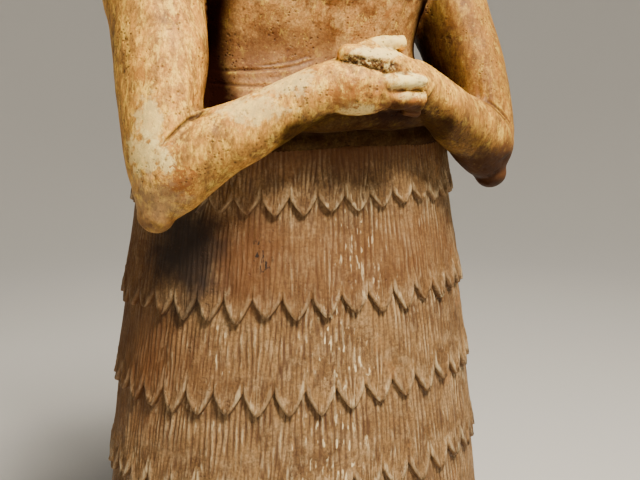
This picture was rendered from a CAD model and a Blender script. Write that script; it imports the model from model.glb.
"""Dresses the standing worshipper: carved stone figure, wool skirt and low base.

Metres, +Z up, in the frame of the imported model. The figure faces -Y and its right hand is on -X.
Stations and sections are shares of the figure's height, counted up from its soles.
"""
import math

import bmesh
import bpy
import numpy as np
from mathutils import Matrix, Vector


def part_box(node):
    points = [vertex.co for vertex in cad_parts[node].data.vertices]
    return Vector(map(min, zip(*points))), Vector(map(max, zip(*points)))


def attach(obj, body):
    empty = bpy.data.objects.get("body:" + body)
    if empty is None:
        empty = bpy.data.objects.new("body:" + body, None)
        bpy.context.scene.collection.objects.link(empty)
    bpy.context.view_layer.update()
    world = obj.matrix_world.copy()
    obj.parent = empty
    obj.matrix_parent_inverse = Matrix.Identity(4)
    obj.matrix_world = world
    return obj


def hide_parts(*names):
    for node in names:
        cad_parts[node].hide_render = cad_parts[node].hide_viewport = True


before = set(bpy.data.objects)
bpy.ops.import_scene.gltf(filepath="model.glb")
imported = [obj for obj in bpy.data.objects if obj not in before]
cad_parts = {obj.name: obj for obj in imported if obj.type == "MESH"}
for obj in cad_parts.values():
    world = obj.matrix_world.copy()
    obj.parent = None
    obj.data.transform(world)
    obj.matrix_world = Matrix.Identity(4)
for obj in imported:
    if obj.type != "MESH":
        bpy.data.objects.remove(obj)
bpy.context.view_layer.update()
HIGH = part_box("statue")[1]

bl_info = {
    "name": "Standing worshipper",
    "version": (1, 0, 0),
    "blender": (4, 5, 0),
    "location": "View3D > Sidebar > Statue",
    "description": "Carves the stone figure, its tufted skirt and its base, and sets the stage",
    "category": "Object",
}

NODE = "statue"

# Skirt, in shares of the figure's height
SKIRT_TOP = 0.568
TIER_TIPS = (0.5114, 0.4130, 0.3240, 0.2350, 0.1400, 0.0438)
TIER_STARTS = (0, 3, 2, 0, 1, 3)  # how far round each row is turned, in quarters of a tongue
TONGUES = 40
TONGUE_LENGTHS = (0.0150, 0.0200, 0.0215, 0.0215, 0.0215, 0.0215)
TONGUE_PROUD = (0.0038, 0.0052, 0.0054, 0.0054, 0.0054, 0.0054)
TONGUE_POINT = 1.35
TONGUE_UNEVENNESS = 0.16
NOTCH_DEPTH = 0.5
WAIST_HALF_WIDTH = 0.1653
HEM_HALF_WIDTH = 0.2225
HEM_THICKNESS = 0.045
SKIRT_DEPTH_RATIO = 0.785
SKIRT_FLARE_POWER = 1.45
COLUMNS_PER_TONGUE = 30
STRANDS = 5  # carved strands across a tongue
TIER_ROWS = (0.0, 0.06, 0.20, 0.36, 0.52, 0.66, 0.78, 0.88, 0.95, 1.0)

# Torso sections: height, half width, front depth, back depth, squareness
TORSO = np.array([
    (0.5390, 0.1480, 0.1180, 0.1100, 2.2),
    (0.5630, 0.1575, 0.1262, 0.1180, 2.2),
    (0.5740, 0.1610, 0.1300, 0.1205, 2.2),
    (0.5900, 0.1560, 0.1245, 0.1140, 2.3),
    (0.6120, 0.1430, 0.1105, 0.1040, 2.5),
    (0.6350, 0.1290, 0.0986, 0.0960, 2.5),
    (0.6575, 0.1220, 0.0920, 0.0915, 2.6),
    (0.6850, 0.1262, 0.0960, 0.0930, 2.6),
    (0.7120, 0.1345, 0.1020, 0.0965, 2.7),
    (0.7400, 0.1420, 0.1050, 0.0940, 2.5),
    (0.7620, 0.1340, 0.0940, 0.0850, 2.3),
    (0.7800, 0.1050, 0.0760, 0.0740, 2.2),
    (0.7930, 0.0720, 0.0560, 0.0600, 2.2),
    (0.8080, 0.0500, 0.0440, 0.0510, 2.0),
    (0.8300, 0.0430, 0.0400, 0.0470, 2.0),
])

BODY_SIDES = 96  # of the rings of the torso and the support
FINGER_SIDES = 20  # of the rings of a finger or a toe

# Limb stations: x, y, height, half size along the limb's reference direction, half size across it
UPPER_ARM = np.array([
    (0.1080, -0.0040, 0.7500, 0.0440, 0.0330),
    (0.1340, -0.0080, 0.7480, 0.0530, 0.0400),
    (0.1500, -0.0170, 0.7340, 0.0570, 0.0450),
    (0.1580, -0.0310, 0.7100, 0.0540, 0.0460),
    (0.1598, -0.0457, 0.6850, 0.0475, 0.0434),
    (0.1626, -0.0639, 0.6393, 0.0457, 0.0420),
    (0.1662, -0.0822, 0.5890, 0.0425, 0.0400),
    (0.1722, -0.0925, 0.5480, 0.0340, 0.0330),
    (0.1815, -0.0945, 0.5150, 0.0180, 0.0170),
])
FOREARM = np.array([
    (0.1806, -0.0950, 0.5172, 0.0172, 0.0168),
    (0.1716, -0.0980, 0.5490, 0.0312, 0.0300),
    (0.1372, -0.1150, 0.5745, 0.0315, 0.0300),
    (0.1059, -0.1324, 0.5909, 0.0279, 0.0270),
    (0.0712, -0.1489, 0.6119, 0.0237, 0.0237),
    (0.0402, -0.1607, 0.6265, 0.0224, 0.0224),
    (0.0260, -0.1680, 0.6285, 0.0200, 0.0200),
])
ELBOW_POINT = np.array([
    (0.1785, -0.0955, 0.5200, 0.0165, 0.0163),
    (0.1650, -0.1020, 0.5370, 0.0232, 0.0230),
    (0.1430, -0.1120, 0.5612, 0.0262, 0.0255),
    (0.1180, -0.1245, 0.5795, 0.0240, 0.0235),
])
LEFT_ELBOW_LIFT = 0.017
LEFT_ELBOW_LEVELS = (0.60, 0.52)
LEFT_ARM_TUCK = 0.007
LEFT_TUCK_LEVELS = (0.65, 0.70)
LEFT_ARM_SLIM = 0.004
LEFT_SLIM_LEVELS = (0.57, 0.64, 0.70, 0.76)
SHOULDERS = np.array([
    (-0.1300, -0.0110, 0.7585, 0.0270, 0.0440),
    (-0.0800, -0.0060, 0.7680, 0.0290, 0.0520),
    (0.0000, -0.0020, 0.7760, 0.0330, 0.0560),
    (0.0800, -0.0060, 0.7680, 0.0290, 0.0520),
    (0.1300, -0.0110, 0.7585, 0.0270, 0.0440),
])
RIGHT_PALM = np.array([
    (-0.0420, -0.1600, 0.6255, 0.0224, 0.0224),
    (-0.0274, -0.1690, 0.6255, 0.0237, 0.0205),
    (-0.0110, -0.1745, 0.6240, 0.0219, 0.0192),
    (0.0018, -0.1780, 0.6230, 0.0164, 0.0146),
])
RIGHT_HEEL = np.array([
    (-0.0350, -0.1670, 0.6190, 0.0140, 0.0140),
    (-0.0200, -0.1715, 0.6175, 0.0155, 0.0160),
    (-0.0050, -0.1725, 0.6195, 0.0130, 0.0140),
])
UPPER_FINGERS = np.array([
    (-0.0160, -0.1790, 0.6290, 0.0080, 0.0100),
    (0.0080, -0.1870, 0.6306, 0.0074, 0.0110),
    (0.0335, -0.1880, 0.6314, 0.0068, 0.0110),
])
LOWER_FINGERS = np.array([
    (-0.0140, -0.1770, 0.6190, 0.0085, 0.0110),
    (0.0100, -0.1850, 0.6164, 0.0095, 0.0115),
    (0.0350, -0.1840, 0.6150, 0.0105, 0.0110),
])
BROKEN_FINGER = np.array([
    (0.0240, -0.1740, 0.6080, 0.0070, 0.0080),
    (0.0385, -0.1760, 0.6035, 0.0055, 0.0070),
])
RIGHT_THUMB = np.array([
    (-0.0260, -0.1620, 0.6500, 0.0080, 0.0080),
    (-0.0060, -0.1690, 0.6622, 0.0062, 0.0070),
    (0.0237, -0.1720, 0.6638, 0.0064, 0.0070),
])
LEFT_PALM = np.array([
    (0.0420, -0.1600, 0.6245, 0.0224, 0.0224),
    (0.0220, -0.1690, 0.6370, 0.0165, 0.0190),
    (0.0020, -0.1755, 0.6455, 0.0130, 0.0170),
    (-0.0160, -0.1735, 0.6505, 0.0115, 0.0150),
    (-0.0300, -0.1690, 0.6535, 0.0095, 0.0120),
])
CLASP_BACKING = np.array([
    (-0.0840, -0.1180, 0.6000, 0.0150, 0.0240),
    (-0.0400, -0.1330, 0.6130, 0.0300, 0.0320),
    (0.0000, -0.1400, 0.6200, 0.0340, 0.0330),
    (0.0400, -0.1330, 0.6130, 0.0300, 0.0320),
    (0.0840, -0.1180, 0.6000, 0.0150, 0.0240),
])

# Head, in shares of its own height: level up from the chin, half width, front depth, back depth
CHIN = 0.813
HEAD_AXIS_Y = -0.004
HEAD = np.array([
    (-0.300, 0.235, 0.205, 0.250),
    (-0.110, 0.225, 0.195, 0.245),
    (-0.020, 0.235, 0.235, 0.255),
    (0.030, 0.285, 0.370, 0.275),
    (0.090, 0.305, 0.410, 0.300),
    (0.200, 0.330, 0.425, 0.355),
    (0.330, 0.350, 0.430, 0.415),
    (0.450, 0.360, 0.432, 0.450),
    (0.560, 0.365, 0.436, 0.468),
    (0.660, 0.366, 0.440, 0.470),
    (0.760, 0.352, 0.425, 0.450),
    (0.850, 0.312, 0.378, 0.400),
    (0.920, 0.250, 0.300, 0.320),
    (0.970, 0.165, 0.200, 0.215),
    (0.992, 0.085, 0.105, 0.110),
])
SKULL_SQUARENESS = 2.15
EAR_PLACE = (0.372, 0.030, 0.460)
EAR_HALF = (0.035, 0.062, 0.130)
EAR_TURN = 20.0

# Feet and support
FOOT_X = 0.062
FOOT = np.array([
    (0.0000, 0.0150, 0.0020, 0.0180, 0.0260),
    (0.0000, -0.0500, 0.0060, 0.0300, 0.0290),
    (0.0000, -0.1050, 0.0040, 0.0230, 0.0330),
    (0.0000, -0.1500, 0.0020, 0.0140, 0.0370),
    (0.0000, -0.1750, 0.0010, 0.0100, 0.0380),
])
ANKLE = np.array([
    (0.0000, -0.0300, 0.0100, 0.0270, 0.0290),
    (0.0000, -0.0300, 0.0900, 0.0260, 0.0280),
])
TOE_SPREAD = 0.0152
TOE_SIZES = (0.0112, 0.0090, 0.0085, 0.0080, 0.0072)
TOE_ROOT_Y = -0.168
TOE_REACH = (-0.2080, -0.2050, -0.2010, -0.1955, -0.1880)
SUPPORT_HALF = (0.150, 0.062)
SUPPORT_Y = 0.075
SUPPORT_SQUARENESS = 3.0

# Wear. Waist folds: their heights at these places across the waist. Elbow creases: the distance
# from the middle, and the height there.
FOLD_X = (-0.112, -0.100, -0.085, -0.065, -0.040, -0.020)
WAIST_FOLDS = np.array([(0.6400, 0.6392, 0.6393, 0.6405, 0.6440, 0.6500),
                        (0.6275, 0.6262, 0.6254, 0.6265, 0.6290, 0.6320),
                        (0.6420, 0.6420, 0.6424, 0.6446, 0.6492, 0.6540)])
CREASE = ((0.1443, 0.1516, 0.1586, 0.1665, 0.1739, 0.1799, 0.1833),
          (0.6052, 0.6022, 0.5992, 0.5937, 0.5873, 0.5824, 0.5783))

# Depths and heights of the figure's relief, in metres
FOLD_CUTS = (0.0021, 0.0021, 0.0012)
SLOT_CUT = 0.0080  # between the forearm and the upper arm
CREASE_CUT = 0.0024
SPINE_CUT = 0.0040
BLADE_HEIGHT = 0.0040
CHEST_HEIGHT = 0.0035
CHEST_EDGE_CUT = 0.0012
FOLD_STARTS = (-0.130, -0.130, -0.085)  # where the folds begin across the waist, in shares
CREASE_SLOPE = 0.77  # distance across the crease for one step in height

# Camera: its place round the figure, how far it looks down, and how far it turns off the axis
CAMERA_AZIMUTH = math.radians(-25.0)
CAMERA_DISTANCE = 1.0413
CAMERA_LEVEL = 0.6575  # share of the figure's height
CAMERA_DIP = math.radians(11.92)
CAMERA_PAN = math.radians(1.49)
CAMERA_LENS = 50.625

# Shading
STONE_SPECULAR = 0.25
BUMP_STRENGTH = 0.8
PATCH_EDGE = 1.05  # where a ragged patch ends, in its own radii
NOISE_MIDDLE = (0.35, 0.65)  # most of a noise's values lie between these
SOCKET_KINDS = {1: "NodeSocketFloat", 3: "NodeSocketVector", 4: "NodeSocketColor"}

# Ragged patches: centre, radii, and mostly how strongly they cover
BROWNED_SKIN = (
    ((0.165, -0.070, 0.640), (0.080, 0.110, 0.150), 0.56),
    ((0.100, -0.150, 0.590), (0.060, 0.060, 0.030), 0.45),
    ((0.158, -0.110, 0.534), (0.085, 0.075, 0.046), 0.95),
    ((-0.105, -0.080, 0.640), (0.045, 0.050, 0.045), 0.60),
    ((-0.055, -0.092, 0.656), (0.080, 0.040, 0.034), 0.66),
)
RUBBED_SKIN = (
    ((-0.190, -0.116, 0.596), (0.011, 0.030, 0.026), 0.55),
    ((-0.194, -0.115, 0.572), (0.017, 0.030, 0.019), 0.62),
    ((-0.180, -0.125, 0.562), (0.008, 0.020, 0.012), 0.70),
    ((-0.088, -0.155, 0.632), (0.040, 0.030, 0.014), 0.45),
    ((-0.030, -0.190, 0.606), (0.022, 0.022, 0.008), 0.70),
    ((0.020, -0.190, 0.619), (0.020, 0.018, 0.004), 0.60),
    ((-0.112, -0.150, 0.608), (0.034, 0.030, 0.013), 0.50),
    ((0.014, -0.199, 0.631), (0.024, 0.020, 0.009), 1.0),
    ((0.010, -0.178, 0.666), (0.026, 0.016, 0.008), 0.70),
    ((-0.010, -0.185, 0.655), (0.034, 0.022, 0.006), 0.75),
)
RUSTY_SKIN = (
    ((-0.170, -0.131, 0.546), (0.014, 0.020, 0.014), 0.90),
    ((-0.042, -0.188, 0.620), (0.016, 0.020, 0.014), 0.75),
    ((-0.010, -0.192, 0.622), (0.020, 0.020, 0.010), 0.45),
    ((0.020, -0.190, 0.611), (0.026, 0.022, 0.008), 0.85),
)
UNDER_HANDS = (((0.022, -0.182, 0.602), (0.036, 0.030, 0.010), 0.85),)
GREY_ELBOW = (((-0.186, -0.112, 0.526), (0.036, 0.040, 0.034), 0.45),)
SHADED_TIPS = (
    ((0.176, -0.108, 0.530), (0.034, 0.045, 0.026), 0.85),
    ((-0.188, -0.106, 0.508), (0.036, 0.034, 0.012), 0.50),
    ((0.004, -0.192, 0.609), (0.016, 0.020, 0.010), 0.75),
    ((0.034, -0.170, 0.602), (0.022, 0.022, 0.011), 0.95),
)
RUBBED_WOOL = (
    ((0.000, -0.141, 0.474), (0.036, 0.050, 0.060)),
    ((-0.024, -0.149, 0.382), (0.040, 0.050, 0.052)),
    ((-0.040, -0.157, 0.287), (0.050, 0.050, 0.045)),
    ((-0.132, -0.109, 0.378), (0.012, 0.030, 0.024)),
)
BROWNED_WOOL = (
    ((0.000, -0.130, 0.572), (0.300, 0.200, 0.036), 0.75),
    ((-0.185, 0.000, 0.400), (0.045, 0.120, 0.220), 0.60),
    ((0.000, -0.120, 0.465), (0.260, 0.160, 0.060), 0.42),
    ((-0.150, -0.080, 0.360), (0.070, 0.120, 0.050), 0.35),
    ((-0.108, -0.110, 0.480), (0.050, 0.060, 0.070), 0.50),
)
SOOTY_WOOL = (((-0.152, -0.080, 0.474), (0.046, 0.075, 0.076), 0.97),)
DRILLED_WOOL = ((-0.0915, -0.118, 0.474), (0.012, 0.030, 0.020))

FLOOR_RADIUS = 2.4
FLOOR_BEND = 2.4
WALL_HEIGHT = 5.0
FLOOR_COLOUR = (0.66, 0.65, 0.63, 1)
SKY_COLOUR = (0.90, 0.91, 0.93, 1)
SKY_STRENGTH = 0.08
LIGHTS_TARGET = (0, 0, 0.62)
LIGHTS = (  # name, place, size, power in watts, colour
    ("key", (0.10, -1.30, 2.60), 0.60, 165, (1.0, 0.91, 0.76)),
    ("fill", (-1.6, -2.2, 1.4), 2.0, 2, (1.0, 0.95, 0.90)),
    ("back", (0.9, 2.2, 2.2), 1.6, 6, (1.0, 0.97, 0.93)),
)


def base_height():
    return bpy.context.scene.statue_sizes.base_height


def figure_height():
    return HIGH.z - base_height()


def to_world(points):
    """Figure shares to metres: each share times the figure's height, raised by the base."""
    world = points * figure_height()
    world[..., 2] += base_height()
    return world


def to_share(points):
    """The inverse of to_world."""
    share = points.copy()
    share[:, 2] -= base_height()
    return share / figure_height()


def unit(vectors):
    return vectors / np.linalg.norm(vectors, axis=-1, keepdims=True)


def bump(value, centre, width):
    """Bell curve: e to the minus squared distance from the centre over the width."""
    return np.exp(-((value - centre) / width) ** 2)


def ramp(value, low, high):
    """Smooth step from 0 at low to 1 at high: three t squared minus two t cubed."""
    t = np.clip((value - low) / (high - low), 0, 1)
    return t * t * (3 - 2 * t)


def lattice(cells, seed):
    """A repeatable number from -1 to 1 for each whole-number cell, by mixing its three indices."""
    x, y, z = (cells[..., axis].astype(np.int64) for axis in range(3))
    mixed = (x * 374761393 + y * 668265263 + z * 2147483647 + seed * 1274126177) & 0xFFFFFFFF
    mixed = ((mixed ^ (mixed >> 13)) * 1103515245) & 0xFFFFFFFF
    mixed = ((mixed ^ (mixed >> 16)) * 12345677) & 0xFFFFFFFF
    return (mixed & 0xFFFFFF) / float(0x7FFFFF) - 1


def noise(points, size, seed=0):
    """Value noise: random numbers on a lattice of the given size, blended by smooth steps."""
    place = points / size
    cell = np.floor(place)
    part = place - cell
    part = part * part * (3 - 2 * part)
    total = 0
    for corner in np.ndindex(2, 2, 2):
        weight = np.prod(np.where(np.array(corner) == 1, part, 1 - part), axis=-1)
        total = total + weight * lattice(cell + np.array(corner), seed)
    return total


def layered_noise(points, size, seed=0, layers=3):
    """Sum of noises, each of half the size and half the strength of the one before."""
    return sum(noise(points, size / 2 ** layer, seed + layer) / 2 ** layer
               for layer in range(layers))


def smooth_stations(stations, between):
    """Catmull-Rom curve through the stations: a cubic in each interval, whose slope at a station
    is half the step between the stations on either side of it."""
    padded = np.vstack([2 * stations[0] - stations[1], stations, 2 * stations[-1] - stations[-2]])
    a, b, c, d = (padded[shift:shift + len(stations) - 1, None] for shift in range(4))
    t = (np.arange(between) / between)[None, :, None]
    rows = b + 0.5 * t * (c - a + t * (2 * a - 5 * b + 4 * c - d + t * (3 * (b - c) + d - a)))
    return np.vstack([rows.reshape(-1, stations.shape[1]), stations[-1:]])


def grid_faces(rows, columns):
    """Quads between each pair of rings, and a fan of triangles from each end ring to its pole."""
    row, column = np.meshgrid(np.arange(rows - 1), np.arange(columns), indexing="ij")
    following = (column + 1) % columns
    quads = np.stack([row * columns + column, row * columns + following,
                      (row + 1) * columns + following, (row + 1) * columns + column], axis=-1)
    ring = np.arange(columns)
    after = (ring + 1) % columns
    last = (rows - 1) * columns
    bottom = np.stack([0 * ring + rows * columns, after, ring], axis=-1)
    top = np.stack([0 * ring + rows * columns + 1, last + ring, last + after], axis=-1)
    return quads.reshape(-1, 4).tolist() + bottom.tolist() + top.tolist()


def closed_mesh(name, rings, bottom=None, top=None):
    """A mesh over rings of points, with its faces turned outwards. Each end closes at the point
    given for it, or else at the middle of its ring."""
    bottom = rings[0].mean(0) if bottom is None else bottom
    top = rings[-1].mean(0) if top is None else top
    rows, columns = rings.shape[:2]
    points = np.vstack([rings.reshape(-1, 3), bottom, top])
    mesh = bpy.data.meshes.new(name)
    mesh.from_pydata(to_world(points).tolist(), [], grid_faces(rows, columns))
    shell = bmesh.new()
    shell.from_mesh(mesh)
    bmesh.ops.recalc_face_normals(shell, faces=shell.faces)
    shell.to_mesh(mesh)
    shell.free()
    return mesh


def full_turn(count):
    return np.arange(count) * (2 * math.pi / count)


def limb(name, stations, reference, ends="rr", sides=32, between=6):
    """A tube along the smoothed stations: each ring is the centre plus cosine times the first
    half size and sine times the second. An end marked r closes as a half ellipsoid."""
    rows = smooth_stations(stations, between)
    centres, along, across = rows[:, :3], rows[:, 3], rows[:, 4]
    tangents = unit(np.gradient(centres, axis=0))
    steady = np.array(reference, float)
    first = unit(steady - (tangents @ steady)[:, None] * tangents)
    second = np.cross(tangents, first)
    turn = full_turn(sides)
    ring = (np.cos(turn)[None, :, None] * first[:, None] * along[:, None, None]
            + np.sin(turn)[None, :, None] * second[:, None] * across[:, None, None])
    rings = centres[:, None] + ring
    poles = [centres[0], centres[-1]]
    lift = np.radians([15, 30, 45, 60, 75])[:, None, None]
    for end, row, way in ((0, 0, -1), (1, -1, 1)):
        if ends[end] == "f":
            continue
        reach = min(along[row], across[row]) * way * tangents[row]
        poles[end] = centres[row] + reach
        cap = centres[row] + reach * np.sin(lift) + ring[row] * np.cos(lift)
        rings = np.vstack([cap[::-1], rings]) if end == 0 else np.vstack([rings, cap])
    return closed_mesh(name, rings, poles[0], poles[1])


def arm(stations, side):
    """The stations on one side of the figure. Its left arm differs a little from its right."""
    placed = stations * np.array([side, 1, 1, 1, 1])
    if side > 0:
        lift = np.interp(-stations[:, 2], [-height for height in LEFT_ELBOW_LEVELS], (0, 1))
        tuck = np.interp(stations[:, 2], LEFT_TUCK_LEVELS, (0, 1))
        slim = LEFT_ARM_SLIM * np.interp(stations[:, 2], LEFT_SLIM_LEVELS, (0, 1, 1, 0))
        placed[:, 2] += LEFT_ELBOW_LIFT * lift
        placed[:, 0] += slim - LEFT_ARM_TUCK * tuck
        placed[:, 4] -= slim
    return placed


def superellipse(half, front, back, power, turn):
    """Plan section: sine and cosine, each to the power of two over the squareness, times the half
    width and the depth. Front and back differ in depth."""
    sine, cosine = np.sin(turn), np.cos(turn)
    depth = np.where(cosine > 0, front, back)
    return (half * np.sign(sine) * np.abs(sine) ** (2 / power),
            -depth * np.sign(cosine) * np.abs(cosine) ** (2 / power))


def torso():
    """Superellipse sections, smoothed up the body."""
    rows = smooth_stations(TORSO, 5)
    turn = full_turn(BODY_SIDES)
    x, y = superellipse(*(rows[:, column, None] for column in range(1, 5)), turn[None])
    rings = np.stack([x, y, rows[:, :1] + 0 * x], axis=-1)
    return closed_mesh("torso", rings)


def face_relief(x, up):
    """How far the face stands forward of the skull: bell curves for the nose, brows, lips and
    chin, a hollow for each socket and half an ellipsoid for each eye."""
    side = np.abs(x)
    down_nose = np.clip((0.60 - up) / 0.255, 0, 1)
    under_nose = np.clip((up - 0.318) / 0.022, 0, 1)
    nose = (0.012 + 0.078 * down_nose ** 1.15) * under_nose * (down_nose > 0)
    nose = nose * bump(side, 0, 0.030 + 0.036 * down_nose ** 2)
    brow_line = 0.606 - 2.6 * (side - 0.15) ** 2
    brow = 0.014 * bump(up, brow_line, 0.026) * (1 - ramp(side, 0.20, 0.31))
    socket = -0.030 * bump(side, 0.155, 0.095) * bump(up, 0.530, 0.052)
    oval = np.sqrt(((side - 0.155) / 0.088) ** 2 + ((up - 0.525) / 0.044) ** 2)
    eye = 0.030 * np.sqrt(np.clip(1 - oval ** 2, 0, 1)) + 0.010 * bump(oval, 1.12, 0.14)
    lips = bump(up, 0.262, 0.015) + 1.1 * bump(up, 0.222, 0.017)
    lips = 0.018 * lips * np.exp(-(side / 0.098) ** 4)
    chin = 0.018 * bump(side, 0, 0.085) * bump(up, 0.090, 0.050)
    return nose + brow + socket + eye + lips + chin


def head():
    """Superellipse sections of the skull, pushed forward by the face's relief."""
    height = 1 - CHIN
    levels = np.concatenate([np.linspace(-0.30, 0.0, 10), np.linspace(0.01, 0.70, 110),
                             np.linspace(0.72, 0.992, 26)])
    half, front, back = (np.interp(levels, HEAD[:, 0], HEAD[:, column])[:, None]
                         for column in (1, 2, 3))
    turn = np.linspace(-math.pi, math.pi, 200, endpoint=False)
    x, y = superellipse(half, front, back, SKULL_SQUARENESS, turn[None])
    up = levels[:, None] + 0 * x
    y = np.where(np.cos(turn)[None] > 0, y - face_relief(x, up), y)
    rings = np.stack([x * height, HEAD_AXIS_Y + y * height, CHIN + up * height], axis=-1)
    return closed_mesh("head", rings, top=np.array([0, HEAD_AXIS_Y, 1.0]))


def ear(side):
    """An ellipsoid turned out from the skull, hollowed inside its rim."""
    height = 1 - CHIN
    lift = np.radians(np.arange(-84, 85, 6))[:, None]
    turn = full_turn(40)[None]
    x, y = np.cos(lift) * np.cos(turn), np.cos(lift) * np.sin(turn)
    z = np.sin(lift) + 0 * turn
    hollow = 0.75 * bump(np.hypot(y, z), 0, 0.5)
    points = np.stack([x * (1 - hollow), y, z], axis=-1) * EAR_HALF * height
    angle = math.radians(EAR_TURN) * side
    cosine, sine = math.cos(angle), math.sin(angle)
    turned = np.stack([points[..., 0] * cosine - points[..., 1] * sine,
                       points[..., 0] * sine + points[..., 1] * cosine, points[..., 2]], axis=-1)
    sideways, back, up = (share * height for share in EAR_PLACE)
    rings = turned + np.array([side * sideways, HEAD_AXIS_Y + back, CHIN + up])
    return closed_mesh("ear", rings)


def read(items, name, width, kind=float):
    """One property of a mesh's points or edges, as an array of rows."""
    values = np.empty(len(items) * width, kind)
    items.foreach_get(name, values)
    return values.reshape(-1, width)


def read_points(mesh):
    return read(mesh.vertices, "co", 3)


def read_normals(mesh):
    return read(mesh.vertices, "normal", 3)


def read_edges(mesh):
    return read(mesh.edges, "vertices", 2, np.int64)


def write_points(mesh, points):
    mesh.vertices.foreach_set("co", points.ravel())
    mesh.update()


def write_mask(mesh, name, values):
    layer = mesh.attributes.new(name, "FLOAT", "POINT")
    layer.data.foreach_set("value", np.asarray(values, np.float32))


def mean_of_neighbours(values, edges):
    """For each point, the mean of the values at the other ends of its edges."""
    near, far = np.concatenate([edges, edges[:, ::-1]]).T
    count = np.maximum(np.bincount(near, minlength=len(values)), 1)
    sums = [np.bincount(near, column[far], len(values)) for column in values.reshape(len(values), -1).T]
    return (np.stack(sums, axis=-1) / count[:, None]).reshape(values.shape)


def relax(points, edges, rounds, strength):
    """Each round moves every point by strength times the way to the mean of its neighbours."""
    for _ in range(rounds):
        points = points + strength * (mean_of_neighbours(points, edges) - points)
    return points


def cavity(mesh, size, rounds):
    """How far each point stands out of its surroundings, from -1 in a groove to 1 on a ridge: its
    height over the mean of its neighbours, spread over a few rounds and divided by the size."""
    points, edges = read_points(mesh), read_edges(mesh)
    calm = relax(points, edges, rounds, 0.6)
    stand = ((points - calm) * read_normals(mesh)).sum(-1)
    return np.clip(stand / size, -1, 1)


def fused(name, meshes, voxel):
    """The outer skin of overlapping closed meshes, rebuilt on a voxel grid."""
    joined = bmesh.new()
    for mesh in meshes:
        joined.from_mesh(mesh)
        bpy.data.meshes.remove(mesh)
    whole = bpy.data.meshes.new(name)
    joined.to_mesh(whole)
    joined.free()
    lump = add_object(name, whole)
    remesh = lump.modifiers.new("fuse", "REMESH")
    remesh.mode = "VOXEL"
    remesh.voxel_size = voxel
    view = bpy.context.evaluated_depsgraph_get()
    skin = bpy.data.meshes.new_from_object(lump.evaluated_get(view))
    bpy.data.objects.remove(lump)
    bpy.data.meshes.remove(whole)
    skin.name = name
    return skin


def add_object(name, data):
    holder = bpy.data.objects.new(name, data)
    bpy.context.scene.collection.objects.link(holder)
    return holder


def finish_piece(name, mesh, material):
    """Puts a mesh in the scene as a piece of stone that stands for the solid statue."""
    mesh.materials.clear()
    mesh.materials.append(material)
    mesh.shade_smooth()
    piece = add_object(name, mesh)
    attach(piece, "root")
    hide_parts(NODE)
    return piece


def within(share, centre, radii):
    """Soft ball: 1 inside the ellipsoid's middle, falling smoothly to 0 at its surface."""
    reach = np.sqrt((((share - np.array(centre)) / np.array(radii)) ** 2).sum(-1))
    return 1 - ramp(reach, 0.6, 1.0)


def on_torso(share):
    """1 where a point lies on or inside the torso's own section at its height, and 0 off it."""
    half, front, power = (np.interp(share[:, 2], TORSO[:, 0], TORSO[:, column])
                          for column in (1, 2, 4))
    reach = (np.abs(share[:, 0]) / half) ** power + (np.abs(share[:, 1]) / front) ** power
    return 1 - ramp(reach, 1.05, 1.15)


def limb_share(share):
    """1 on the arms and hands and 0 on the body: the nearest arm station, by its own size. It fades
    out towards the shoulders."""
    centres, sizes = [], []
    for side in (-1, 1):
        for stations in (UPPER_ARM[2:], FOREARM):
            rows = smooth_stations(arm(stations, side), 4)
            centres.append(rows[:, :3])
            sizes.append(rows[:, 3:].max(1))
    for stations in (RIGHT_PALM, LEFT_PALM, UPPER_FINGERS, LOWER_FINGERS, RIGHT_THUMB, RIGHT_HEEL):
        rows = smooth_stations(stations, 3)
        centres.append(rows[:, :3])
        sizes.append(rows[:, 3:].max(1))
    nearest = np.full(len(share), np.inf)
    for centre, size in zip(np.vstack(centres), np.concatenate(sizes)):
        nearest = np.minimum(nearest, np.linalg.norm(share - centre, axis=1) / size)
    arms = (1 - ramp(nearest, 1.05, 1.35)) * (1 - on_torso(share))
    return arms * (1 - ramp(share[:, 2], 0.708, 0.765))


def broken_ground(share, normals):
    """Where the stone is broken away, from 0 to 1: the left hand's knuckles and the fingers' ends."""
    under = ramp(-normals[:, 2], -0.45, 0.15) * ramp(-normals[:, 1], 0.2, 0.5)
    knuckles = within(share, (-0.0150, -0.1850, 0.6490), (0.040, 0.024, 0.0140)) * under
    ends = ramp(normals[:, 0], 0.45, 0.8)
    fingers = within(share, (0.0340, -0.1880, 0.6200), (0.016, 0.022, 0.030)) * ends
    thumb = within(share, (0.0237, -0.1720, 0.6638), (0.012, 0.016, 0.016)) * ends
    return np.clip(knuckles + fingers + thumb, 0, 1)


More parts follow.
